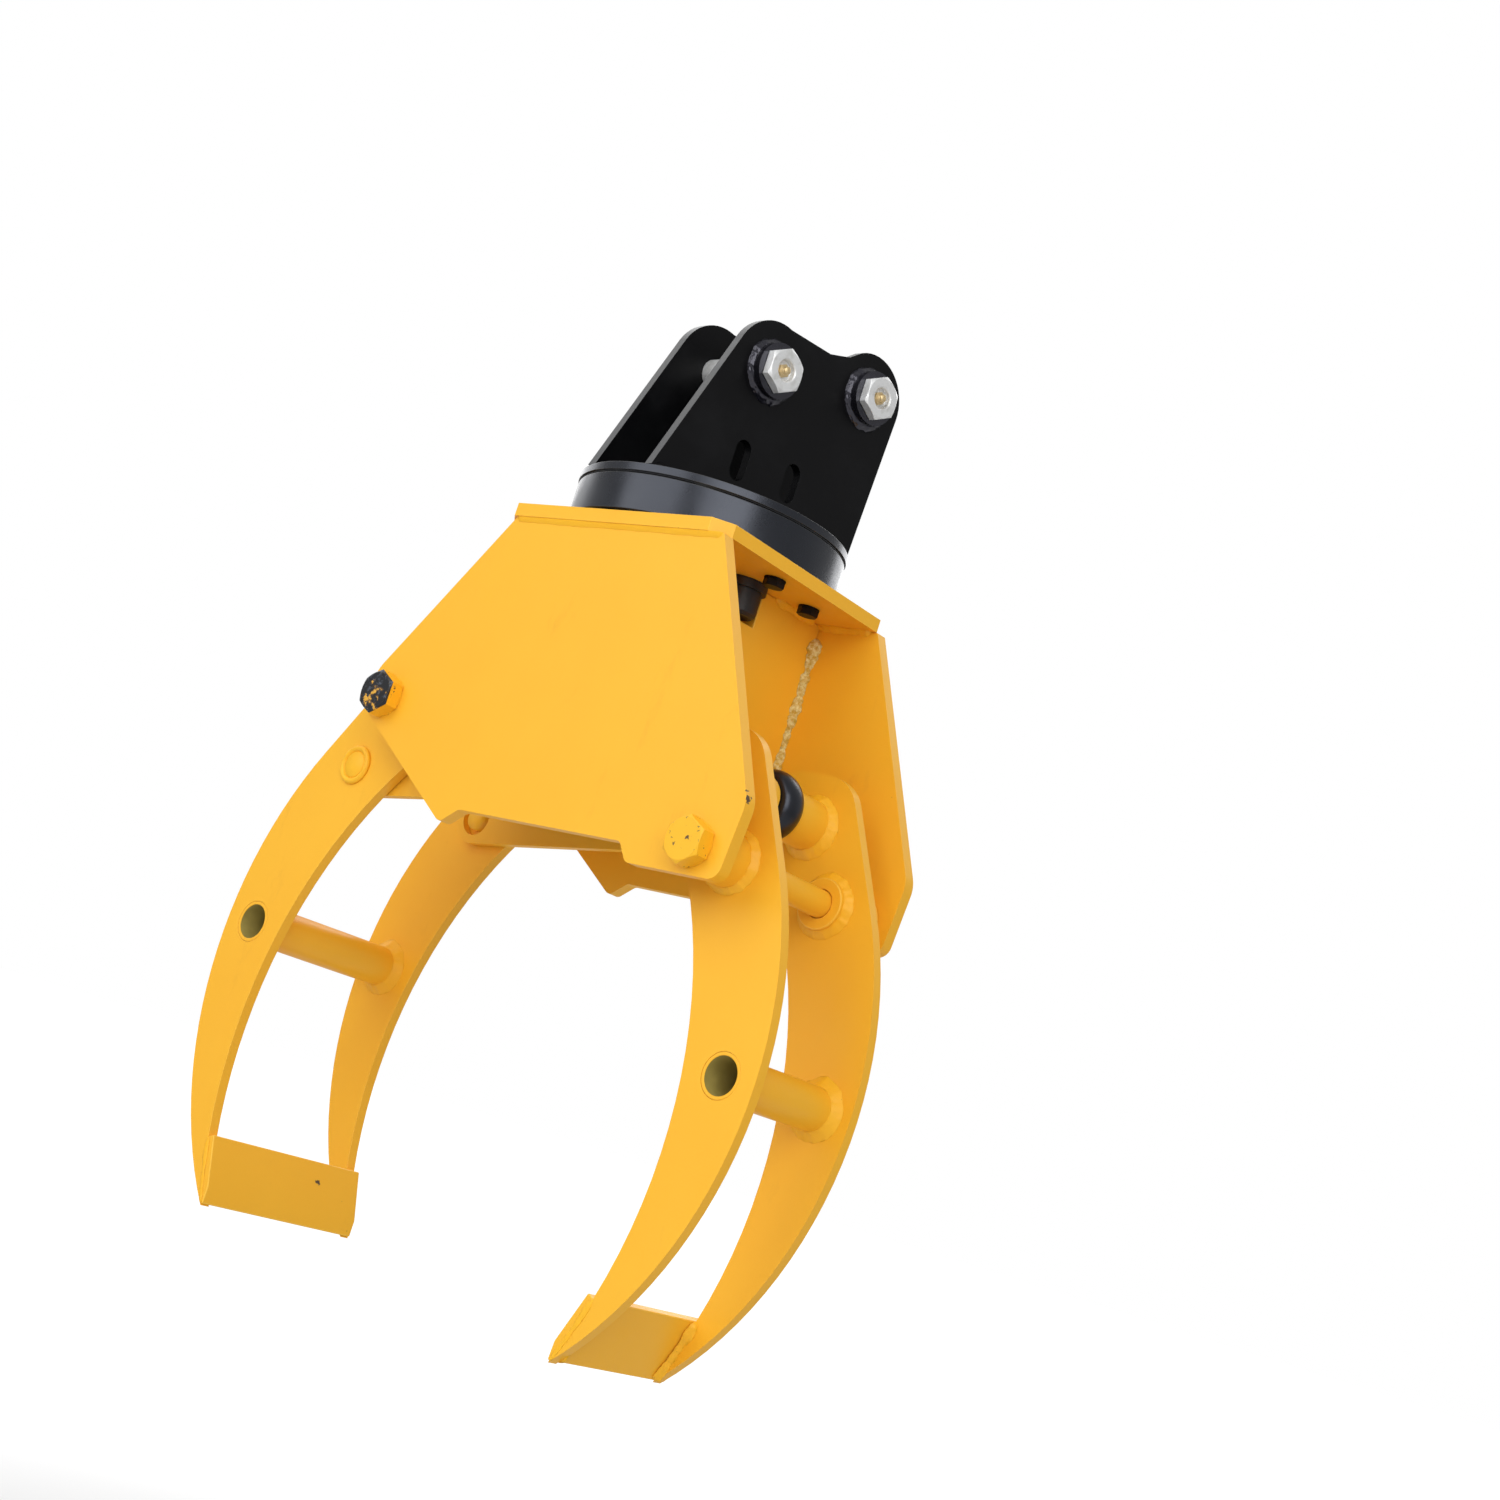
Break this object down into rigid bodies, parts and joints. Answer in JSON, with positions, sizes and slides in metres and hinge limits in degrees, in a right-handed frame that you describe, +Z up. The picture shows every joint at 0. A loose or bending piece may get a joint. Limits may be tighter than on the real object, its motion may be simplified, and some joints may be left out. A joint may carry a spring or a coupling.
{
  "type": "log grapple",
  "caption": "Rotating log grapple for a small excavator: a slewing head over a plate frame with two curved claw jaws, sync links and a hydraulic cylinder.",
  "frame": {"origin": "Middle of the arm pin, halfway between the hanger's two ears, where the machine carries the grapple.", "axes": "+Z is up along the slewing axis, +X is the way the jaws open, +Y lies along the jaw pivots. The hanger is at 82.4 degrees to the jaws at rest."},
  "size_m": [0.639, 0.2793, 0.9269],
  "materials": {
    "yellow_paint": "glossy sprayed machine paint, chipped at bolt heads",
    "black_paint": "gloss black sprayed paint",
    "cast_black": "satin black paint on castings",
    "zinc_plate": "bright zinc plating",
    "chrome": "hard chrome",
    "brass": "plain brass",
    "gear_steel": "cut steel, oiled"
  },
  "bodies": {
    "head": {"drum_cap": "black_paint", "drum_skirt": "black_paint", "ring_gear": "gear_steel", "ear_near": "black_paint", "ear_far": "black_paint", "arm_pin": "zinc_plate", "arm_pin_nut": "zinc_plate", "arm_grease_nipple": "brass", "link_pin": "zinc_plate", "link_pin_nut": "zinc_plate", "link_grease_nipple": "brass", "swivel_core": "gear_steel"},
    "frame": {"top_plate": "yellow_paint", "side_plate_near": "yellow_paint", "side_plate_far": "yellow_paint", "cross_wall_right": "yellow_paint", "cross_wall_left": "yellow_paint", "left_pivot_bolt": "yellow_paint", "left_pivot_nut": "yellow_paint", "right_pivot_bolt": "yellow_paint", "right_pivot_nut": "yellow_paint", "slew_race": "gear_steel", "slew_motor": "cast_black", "swivel_housing": "cast_black", "slew_bolt_1": "black_paint", "slew_bolt_2": "black_paint", "slew_bolt_3": "black_paint", "slew_bolt_4": "black_paint", "slew_bolt_5": "black_paint", "slew_bolt_6": "black_paint"},
    "pinion": {"drive_pinion": "gear_steel"},
    "left_jaw": {"left_tine_near": "yellow_paint", "left_tine_far": "yellow_paint", "left_brace_tube": "yellow_paint", "left_blade": "yellow_paint", "left_pivot_boss_near": "yellow_paint", "left_pivot_boss_far": "yellow_paint", "left_link_pin_near": "yellow_paint", "left_link_pin_far": "yellow_paint"},
    "right_jaw": {"right_tine_near": "yellow_paint", "right_tine_far": "yellow_paint", "right_brace_tube": "yellow_paint", "right_blade": "yellow_paint", "right_pivot_boss_near": "yellow_paint", "right_pivot_boss_far": "yellow_paint", "right_pivot_collar_near": "yellow_paint", "right_pivot_collar_far": "yellow_paint", "cylinder_boss_near": "yellow_paint", "cylinder_boss_far": "yellow_paint", "cross_pin": "yellow_paint"},
    "links": {"sync_link_near": "yellow_paint", "sync_link_far": "yellow_paint"},
    "cylinder": {"cylinder_barrel": "cast_black", "cylinder_gland": "cast_black"},
    "rod": {"cylinder_rod": "chrome", "cylinder_piston": "gear_steel", "rod_eye": "cast_black"}
  },
  "joints": [
    {"name": "slew", "type": "hinge", "parent": "head", "child": "frame", "pos_m": [-0.0123, -0.09218, -0.204], "axis": [0, 0, 1], "continuous": true},
    {"name": "pinion_spin", "type": "hinge", "parent": "frame", "child": "pinion", "pos_m": [0.0477, -0.09218, -0.186], "axis": [0, 0, 1], "continuous": true},
    {"name": "right_jaw_swing", "type": "hinge", "parent": "frame", "child": "right_jaw", "pos_m": [0.1897, -0.09218, -0.474], "axis": [0, 1, 0], "range_deg": [-5, 26]},
    {"name": "left_jaw_swing", "type": "hinge", "parent": "frame", "child": "left_jaw", "pos_m": [-0.2143, -0.09218, -0.395], "axis": [0, -1, 0], "range_deg": [-6, 30]},
    {"name": "link_swing", "type": "hinge", "parent": "right_jaw", "child": "links", "pos_m": [0.14954, -0.09218, -0.40948], "axis": [0, -1, 0], "range_deg": [-6, 30]},
    {"name": "cylinder_swing", "type": "hinge", "parent": "frame", "child": "cylinder", "pos_m": [-0.2143, -0.09218, -0.395], "axis": [0, -1, 0], "range_deg": [-0.5, 2.2]},
    {"name": "rod_slide", "type": "slide", "parent": "cylinder", "child": "rod", "axis": [0.9992, 0, -0.0398], "range_m": [-0.0065, 0.0315]}
  ],
  "couplings": [
    {"joint": "pinion_spin", "follows": "slew", "ratio": -3.8571},
    {"joint": "left_jaw_swing", "follows": "right_jaw_swing", "ratio": 1.15},
    {"joint": "link_swing", "follows": "right_jaw_swing", "ratio": 1.15},
    {"joint": "cylinder_swing", "follows": "right_jaw_swing", "ratio": 0.08},
    {"joint": "rod_slide", "follows": "right_jaw_swing", "m_per_rad": 0.06875}
  ]
}
